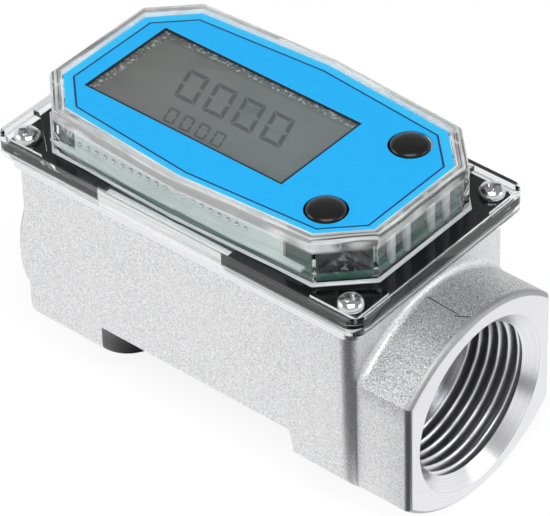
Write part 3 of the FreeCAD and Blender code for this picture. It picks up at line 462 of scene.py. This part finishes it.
def softened(node, name, slot, width):
    """The node's own shape with its sharp edges rounded over, standing for it."""
    angle = 30.0
    source = NODES[node]
    data = source.data.copy()
    mesh = bmesh.new()
    mesh.from_mesh(data)
    bmesh.ops.remove_doubles(mesh, verts=mesh.verts, dist=2e-6)
    bmesh.ops.dissolve_limit(mesh, angle_limit=math.radians(0.6), verts=mesh.verts, edges=mesh.edges)
    bmesh.ops.connect_verts_concave(mesh, faces=mesh.faces)
    mesh.to_mesh(data)
    mesh.free()
    stale = data.attributes.get("custom_normal")
    if stale:
        data.attributes.remove(stale)
    body = source["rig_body"]
    thing = dress(name, data, body, slot, None, (node,), angle)
    bevel = thing.modifiers.new("edge_rounding", "BEVEL")
    bevel.width = width * MM
    bevel.segments = 2
    bevel.limit_method = "ANGLE"
    bevel.angle_limit = math.radians(angle)
    bevel.miter_outer = "MITER_ARC"
    bevel.use_clamp_overlap = True
    bevel.harden_normals = True
    return thing


THREAD_PITCH = 2.209
THREAD_START = 2.9
THREAD_END = 16.5
WALL = 16.9
CREST = 15.15


def thread(name, side):
    """A pipe thread's helical ridge on the port's wall, fading out at both ends."""
    steps = 96
    count = int((THREAD_END - THREAD_START) / THREAD_PITCH * steps)
    shape = [(-1.06, 0.0), (-1.0, 0.1), (-0.2, 0.93), (-0.09, 1.0),
             (0.09, 1.0), (0.2, 0.93), (1.0, 0.1), (1.06, 0.0)]
    mesh = bmesh.new()
    place = along_flow(side)
    rows = []
    for k in range(count + 1):
        angle = 2 * math.pi * k / steps
        depth = THREAD_START + THREAD_PITCH * k / steps
        fade = min(1.0, k / 20, (count - k) / 30)
        spread = 0.25 + 0.75 * fade
        rows.append([mesh.verts.new(place(WALL - (WALL - CREST) * rise * fade, angle * side,
                                          depth + shift * spread))
                     for shift, rise in shape])
    for a, b in zip(rows, rows[1:]):
        for k in range(len(shape) - 1):
            mesh.faces.new((a[k], a[k + 1], b[k + 1], b[k]))
        mesh.faces.new((a[-1], a[0], b[0], b[-1]))
    mesh.faces.new(rows[0])
    mesh.faces.new(rows[-1][::-1])
    return piece(name, mesh, "housing", "cast_aluminium", sharp=50.0)


def mouth_ring(name, side):
    """The bevel that leads into the thread."""
    mesh = bmesh.new()
    profile = [(17.5, 0.03), (15.3, 2.2), (15.17, 2.35), (15.2, 2.5), (16.9, 3.4), (17.7, 0.6)]
    revolve(mesh, profile + profile[:1], 128, along_flow(side))
    bmesh.ops.remove_doubles(mesh, verts=mesh.verts, dist=1e-5)
    return piece(name, mesh, "housing", "cast_aluminium", sharp=30.0)


for side, port in ((-1, "inlet"), (1, "outlet")):
    thread(port + "_thread", side)
    mouth_ring(port + "_thread_lead", side)


def screw_template():
    """One pan-head screw at the origin, its cross recess cut out."""
    head = bmesh.new()
    profile = [(0.0, 1.9), (0.6, 1.885), (1.2, 1.8), (1.75, 1.6), (2.2, 1.27), (2.48, 0.85), (2.58, 0.4),
               (2.55, 0.12), (2.42, 0.0), (1.5, 0.0), (1.45, -0.2), (1.45, -7.5), (1.1, -8.2), (0.0, -8.3)]
    revolve(head, profile, 48, upright_at(0.0, 0.0))
    bmesh.ops.recalc_face_normals(head, faces=head.faces)
    data = bpy.data.meshes.new("screw_shape")
    head.to_mesh(data)
    head.free()
    bar = bmesh.new()
    for turn in (0, 1):
        levels = []
        for height, length, width in ((2.4, 2.0, 0.5), (1.15, 1.4, 0.34), (0.7, 0.5, 0.22)):
            corners = [(length, width), (-length, width), (-length, -width), (length, -width)]
            if turn:
                corners = [(-y, x) for x, y in corners]
            levels.append([bar.verts.new((x, y, height)) for x, y in corners])
        for a, b in zip(levels, levels[1:]):
            for k in range(4):
                bar.faces.new((a[k], a[(k + 1) % 4], b[(k + 1) % 4], b[k]))
        bar.faces.new(levels[0])
        bar.faces.new(levels[-1][::-1])
    bmesh.ops.recalc_face_normals(bar, faces=bar.faces)
    tool_data = bpy.data.meshes.new("screw_recess")
    bar.to_mesh(tool_data)
    bar.free()
    body = bpy.data.objects.new("screw_shape", data)
    tool = bpy.data.objects.new("screw_recess", tool_data)
    for thing in (body, tool):
        bpy.context.scene.collection.objects.link(thing)
    cut = body.modifiers.new("recess", "BOOLEAN")
    cut.operation = "DIFFERENCE"
    cut.object = tool
    cut.solver = "EXACT"
    cut.use_self = True
    bpy.context.view_layer.update()
    shaped = bpy.data.meshes.new_from_object(body.evaluated_get(bpy.context.evaluated_depsgraph_get()))
    for thing in (body, tool):
        bpy.data.objects.remove(thing)
    return shaped


def cover_screws():
    shape = screw_template()
    mesh = bmesh.new()
    for (x, y), spin in zip(SCREWS, (25.0, 70.0, 12.0, 48.0)):
        part = bmesh.new()
        part.from_mesh(shape)
        part.transform(Matrix.Translation((x, y, RECESS_FLOOR)) @ Matrix.Rotation(math.radians(spin), 4, "Z"))
        data = bpy.data.meshes.new("screw_copy")
        part.to_mesh(data)
        part.free()
        mesh.from_mesh(data)
    return piece("cover_screw_set", mesh, "housing", "bright_steel", stands_for=("cover_screws",), sharp=28.0)


cover_screws()


def button(node, x, y):
    """A soft domed key on its flange."""
    low, high = (tuple(v / MM for v in corner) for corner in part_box(node))
    wide = (high[0] - low[0]) / 2
    top, flange = high[2], low[2] + 1.1
    mesh = bmesh.new()
    profile = [(0.0, top), (1.2, top - 0.02), (2.2, top - 0.1), (2.9, top - 0.22), (3.35, top - 0.4),
               (3.62, top - 0.62), (3.74, top - 0.9), (3.76, top - 1.4), (3.76, flange + 0.1), (3.9, flange),
               (wide - 0.1, flange),
               (wide, flange - 0.12), (wide, low[2] + 0.1), (wide - 0.1, low[2]), (0.0, low[2])]
    revolve(mesh, profile, 64, upright_at(x, y))
    body = {"display_button": "display_key", "setting_button": "setting_key"}[node]
    return piece(node + "_dome", mesh, body, "button_rubber", stands_for=(node,), sharp=40.0)


for node, (x, y) in BUTTONS.items():
    button(node, x, y)


def digit(mesh, x, y, width, height, lean, bar, low, high):
    """A seven-segment nought: six bars with mitred ends and gaps."""
    half_w, half_h, gap = width / 2, height / 2, bar * 0.16

    def put(corners):
        slab(mesh, [(x + u + lean * v / height, y + v) for u, v in corners], low, high)

    for sign in (-1, 1):
        outer, inner = sign * half_h, sign * (half_h - bar)
        put([(-half_w + gap, outer), (half_w - gap, outer),
             (half_w - bar - gap, inner), (-half_w + bar + gap, inner)][::sign])
        for side in (-1, 1):
            edge, inside = side * half_w, side * (half_w - bar)
            put([(edge, sign * (half_h - gap)), (edge, sign * gap), (inside, sign * (bar * 0.5 + gap)),
                 (inside, sign * (half_h - bar - gap))][::sign * side])


def display():
    ink = surface("lcd_ink", (77, 79, 83), 0.35, speck=0.03, specular=0.15).material
    low, high = GLASS_TOP - 0.02, GLASS_TOP + 0.02
    mesh = bmesh.new()
    for first_x, step, y, width, height, lean, bar in ((-20.6, 6.75, 1.7, 5.0, 8.0, -2.9, 0.95),
                                                       (-17.8, 3.7, -7.1, 2.5, 4.0, -1.4, 0.5)):
        for k in range(4):
            digit(mesh, first_x + step * k, y, width, height, lean, bar, low, high)
    piece("lcd_digits", mesh, "housing", "lcd_glass", ink)


display()


GUIDE_ENDS = (-30.2, 18.6)
GUIDE_INSIDE = 17.9
GUIDE_TOP = 57.2
FOOT_ENDS = (-36.0, 23.6)
FOOT_OUTSIDE = 20.2
FOOT_HEIGHT = 0.5
DOME_COUNT = 20
DOME_FIRST_X = -28.9
DOME_PITCH = 2.05
DOME_Z = 54.3


def guide_slab(mesh, ends, near, away, top):
    """A slab between two distances from the middle, on the board."""
    inside, outside = sorted((near, away))
    slab(mesh, [(ends[0], inside), (ends[1], inside), (ends[1], outside), (ends[0], outside)], BOARD_TOP, top)


def side_frames():
    """Pale light guides along both long sides of the board, on a foot that covers the board's edge."""
    mesh = bmesh.new()
    for side in (-1, 1):
        guide_slab(mesh, GUIDE_ENDS, side * GUIDE_INSIDE, side * SIDE_FRAME_Y, GUIDE_TOP)
        guide_slab(mesh, FOOT_ENDS, side * SIDE_FRAME_Y, side * FOOT_OUTSIDE, BOARD_TOP + FOOT_HEIGHT)
    return piece("board_light_guides", mesh, "housing", "pale_plastic")


def side_domes():
    """A row of small bright domes on the outer face of each light guide."""
    mesh = bmesh.new()
    dome = [(0.0, 0.5), (0.2, 0.46), (0.37, 0.33), (0.48, 0.14), (0.52, -0.06), (0.0, -0.08)]
    for side in (-1, 1):
        for k in range(DOME_COUNT):
            x = DOME_FIRST_X + DOME_PITCH * k
            revolve(mesh, dome, 20, lambda radius, angle, height: (
                x + radius * math.cos(angle), side * (SIDE_FRAME_Y + height),
                DOME_Z + radius * math.sin(angle)))
    return piece("board_light_domes", mesh, "housing", "bright_steel")


side_domes()
side_frames()


def end_ribs():
    """Round ribs moulded inside the end wall of the clear cover."""
    wall_x = 32.35
    mesh = bmesh.new()
    for y in (-7.6, -3.4, 3.4, 7.6):
        revolve(mesh, [(0.0, 51.2), (0.62, 51.3), (0.75, 51.6), (0.75, 57.0), (0.62, 57.4), (0.0, 57.5)], 20,
                upright_at(wall_x, y))
    ribs = surface("satin_rib_finish", (236, 241, 241), 0.12, speck=0.03, clear=0.5, specular=0.8).material
    return piece("cover_end_ribs", mesh, "housing", "clear_plastic", ribs)


end_ribs()


def parting_line():
    """The faint stepped line that the mould left along the top of the long port, painted dark as shade along
    it.
    """
    points = [(37.2, -1.9), (39.9, -2.07), (42.0, -2.2), (44.04, -2.23),
              (43.9, -2.95), (45.4, -2.1), (46.3, -1.5)]
    rise = 20.8
    radius = 28.5
    centre_z = AXIS_Z + rise - radius
    mesh = bmesh.new()
    rows = []
    for k, (x, y) in enumerate(points):
        before, after = points[max(k - 1, 0)], points[min(k + 1, len(points) - 1)]
        run = math.hypot(after[0] - before[0], after[1] - before[1])
        side_x, side_y = -(after[1] - before[1]) / run, (after[0] - before[0]) / run
        row = []
        for shift, lift in ((-0.13, -0.05), (-0.06, 0.05), (0.06, 0.05), (0.13, -0.05)):
            u, v = x + side_x * shift, y + side_y * shift
            row.append(mesh.verts.new((u, v, centre_z + math.sqrt(radius * radius - v * v) + lift)))
        rows.append(row)
    for a, b in zip(rows, rows[1:]):
        for k in range(4):
            mesh.faces.new((a[k], a[(k + 1) % 4], b[(k + 1) % 4], b[k]))
    mesh.faces.new(rows[0])
    mesh.faces.new(rows[-1][::-1])
    # painted shade: the line's dark colour stands in for the shade along the small ridge
    dark = surface("parting_line_painted_shade", (58, 58, 60), 0.6, speck=0.2, metallic=0.5).material
    piece("mould_parting_line", mesh, "housing", "cast_aluminium", dark)


parting_line()


def raised_outline(outset, z):
    """The raised part's outline, with its bowed long sides, moved out by outset."""
    half_x, half_y = 38.6 + outset, 21.0 + outset
    cut, bow = 8.2 + 0.59 * outset, 1.8
    quarter = [(half_x, half_y - cut), (half_x - cut, half_y), (0.0, half_y + bow)]
    ring = quarter + [(-x, y) for x, y in reversed(quarter[:-1])] + [(-x, -y) for x, y in quarter[:-1]]
    ring += [(0.0, -half_y)] + [(x, -y) for x, y in reversed(quarter[:-1])]
    return [(MIDDLE_X + x, y, z) for x, y in ring]


def foot_bead():
    """The small moulded radius where the raised part meets the flange."""
    mesh = bmesh.new()
    section = [(-0.25, 0.45), (0.05, 0.42), (0.16, 0.18), (0.42, 0.05), (0.45, -0.1), (-0.25, -0.1)]
    rings = [[mesh.verts.new(p) for p in raised_outline(outset, FLANGE_TOP + lift)]
             for outset, lift in section]
    for a, b in zip(rings, rings[1:] + rings[:1]):
        for k in range(len(a)):
            n = (k + 1) % len(a)
            mesh.faces.new((a[k], a[n], b[n], b[k]))
    pale = surface("satin_clear_finish", (226, 231, 232), 0.18, speck=0.04, clear=0.35, specular=0.8).material
    return piece("cover_foot_radius", mesh, "housing", "clear_plastic", pale, sharp=50.0)


foot_bead()
softened("clear_cover", "clear_cover_shell", "clear_plastic", 0.28)
softened("cover_seal", "cover_seal_edge", "seal_rubber", 0.15)
softened("meter_body", "meter_body_casting", "cast_aluminium", 0.25)


# ---------------------------------------------------------------- light, floor and camera

AMBIENT = 0.6
CEILING = 0.35
FLOOR_GLOW = 0.82


def world_light():
    """White below and at the horizon with a darker ceiling, weaker on matt surfaces than in view."""
    world = bpy.data.worlds.new("studio")
    bpy.context.scene.world = world
    world.use_nodes = True
    tree = world.node_tree

    def add(kind, **settings):
        made = tree.nodes.new(kind)
        for key, value in settings.items():
            setattr(made, key, value)
        return made

    back = tree.nodes["Background"]
    path = add("ShaderNodeLightPath")
    seen = path.outputs["Is Camera Ray"]
    for output in ("Is Glossy Ray", "Is Transmission Ray"):
        higher = add("ShaderNodeMath", operation="MAXIMUM")
        tree.links.new(seen, higher.inputs[0])
        tree.links.new(path.outputs[output], higher.inputs[1])
        seen = higher.outputs[0]
    strength = add("ShaderNodeMapRange")
    strength.inputs["To Min"].default_value = AMBIENT
    tree.links.new(seen, strength.inputs["Value"])
    tree.links.new(strength.outputs[0], back.inputs["Strength"])
    place = add("ShaderNodeTexCoord")
    axes = add("ShaderNodeSeparateXYZ")
    tree.links.new(place.outputs["Generated"], axes.inputs[0])
    height = add("ShaderNodeMapRange", interpolation_type="SMOOTHSTEP")
    for key, value in (("From Min", 0.2), ("From Max", 0.6), ("To Min", 1.0), ("To Max", CEILING)):
        height.inputs[key].default_value = value
    tree.links.new(axes.outputs["Z"], height.inputs["Value"])
    tree.links.new(height.outputs[0], back.inputs["Color"])


def softbox(name, place, aim, width, height, glow):
    lamp = bpy.data.lights.new(name, "AREA")
    lamp.shape = "RECTANGLE"
    lamp.size, lamp.size_y = width, height
    lamp.energy = glow * width * height * 4
    thing = bpy.data.objects.new(name, lamp)
    bpy.context.scene.collection.objects.link(thing)
    thing.location = place
    thing.rotation_euler = (Vector(aim) - Vector(place)).to_track_quat("-Z", "Y").to_euler()
    thing.visible_camera = thing.visible_transmission = False
    return thing


def floor():
    mesh = bmesh.new()
    bmesh.ops.create_grid(mesh, x_segments=8, y_segments=8, size=3.0)
    data = bpy.data.meshes.new("studio_floor")
    mesh.to_mesh(data)
    mesh.free()
    thing = bpy.data.objects.new("studio_floor", data)
    bpy.context.scene.collection.objects.link(thing)
    t = Tree("floor_finish")
    t.set(colour=t.mix(t.remap(t.noise(40.0), 0.3, 0.7, 0.0, 1.0), (243, 243, 243), (247, 247, 247)),
          rough=0.9, specular=0.1)
    glow = t.node("ShaderNodeEmission")
    glow.inputs["Strength"].default_value = 1.06
    path = t.node("ShaderNodeLightPath")
    seen = t.math("MAXIMUM", t.math("MAXIMUM", path.outputs["Is Camera Ray"], path.outputs["Is Glossy Ray"]),
                  path.outputs["Is Transmission Ray"])
    both = t.node("ShaderNodeMixShader")
    t.link(t.math("MULTIPLY", seen, FLOOR_GLOW), both.inputs[0])
    t.link(t.shader.outputs[0], both.inputs[1])
    t.link(glow.outputs[0], both.inputs[2])
    t.link(both.outputs[0], t.output.inputs["Surface"])
    data.materials.append(t.material)


def camera():
    azimuth, elevation, roll = (math.radians(v) for v in (41.301, 39.432, -1.77))
    distance, target = 0.74096, Vector((-0.000305, 0.0, 0.02979))
    out = Vector((math.sin(azimuth) * math.cos(elevation), -math.cos(azimuth) * math.cos(elevation),
                  math.sin(elevation)))
    right = Vector((math.cos(azimuth), math.sin(azimuth), 0.0))
    up = out.cross(right)
    turned_right = right * math.cos(roll) + up * math.sin(roll)
    turned_up = up * math.cos(roll) - right * math.sin(roll)
    data = bpy.data.cameras.new("photo_camera")
    data.sensor_width = 36.0
    data.sensor_fit = "HORIZONTAL"
    data.lens = 264.38
    data.clip_start, data.clip_end = 0.01, 20.0
    thing = bpy.data.objects.new("photo_camera", data)
    bpy.context.scene.collection.objects.link(thing)
    thing.matrix_world = Matrix.Translation(target + out * distance) @ Matrix(
        (turned_right, turned_up, out)).transposed().to_4x4()
    bpy.context.scene.camera = thing


def studio_flags():
    """Dark cloth on the floor that only reflections see, ahead of the near corner and under the housing.

    It gives metal edges their dark bands and keeps the underside dark."""
    reach = 380
    lift = 0.4
    near = [(44.0, -26.0), (51.5, -21.0)]
    fan = [(48.0 + reach * math.sin(math.radians(a)), -24.0 - reach * math.cos(math.radians(a)))
           for a in (104, 78, 52, 26, 0, -22)]
    under = [(-40.0, -17.0), (32.0, -17.0), (32.0, 17.0), (-40.0, 17.0)]
    for name, corners in (("corner_flag", near + fan), ("under_flag", under)):
        mesh = bmesh.new()
        mesh.faces.new([mesh.verts.new((x * MM, y * MM, lift * MM)) for x, y in corners])
        data = bpy.data.meshes.new(name)
        mesh.to_mesh(data)
        mesh.free()
        thing = bpy.data.objects.new(name, data)
        bpy.context.scene.collection.objects.link(thing)
        thing.visible_camera = False
        thing.visible_diffuse = False
        thing.visible_transmission = False
        thing.visible_shadow = False
        shade = (84, 84, 86) if name == "corner_flag" else (24, 24, 25)
        data.materials.append(surface(name + "_cloth", shade, 0.9, specular=0.1).material)


world_light()
softbox("key_light", (0.3, -0.28, 0.85), (0, 0, 0.05), 0.64, 0.64, 3.5)
softbox("left_light", (-0.62, -0.5, 0.4), (0, 0, 0.03), 0.5, 0.4, 2.3)
softbox("right_light", (0.75, 0.45, 0.4), (0, 0, 0.03), 0.4, 0.4, 1.6)
studio_flags()
floor()
camera()
bpy.context.scene.view_settings.view_transform = "Standard"
